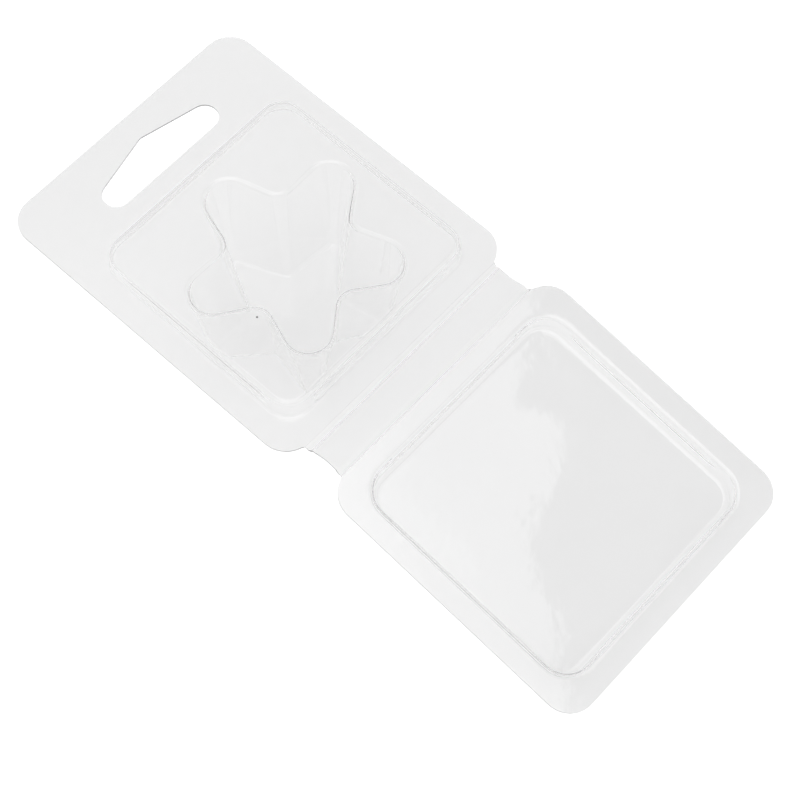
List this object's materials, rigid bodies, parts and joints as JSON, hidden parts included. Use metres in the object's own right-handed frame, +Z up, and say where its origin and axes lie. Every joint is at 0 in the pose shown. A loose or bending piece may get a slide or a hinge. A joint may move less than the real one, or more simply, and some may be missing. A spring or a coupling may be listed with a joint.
{
  "type": "wax melt clamshell",
  "caption": "Clear hinged clamshell pack with a hang tab, a raised plateau with a deep star pocket, and a lid whose recess snaps over the plateau.",
  "frame": {"origin": "on the ground, under the middle of the open pack", "axes": "+X along the hinge, +Y from the lid towards the hang tab, +Z up"},
  "size_m": [0.065, 0.1504, 0.0319],
  "materials": {
    "clear_sheet": "clear glossy formed sheet"
  },
  "bodies": {
    "tray": {"tray": "clear_sheet"},
    "lid": {"lid": "clear_sheet"}
  },
  "joints": [
    {"name": "lid_hinge", "type": "hinge", "parent": "tray", "child": "lid", "pos_m": [0, -0.00872, 0.02138], "axis": [-1, 0, 0], "range_deg": [0, 189.6]}
  ]
}
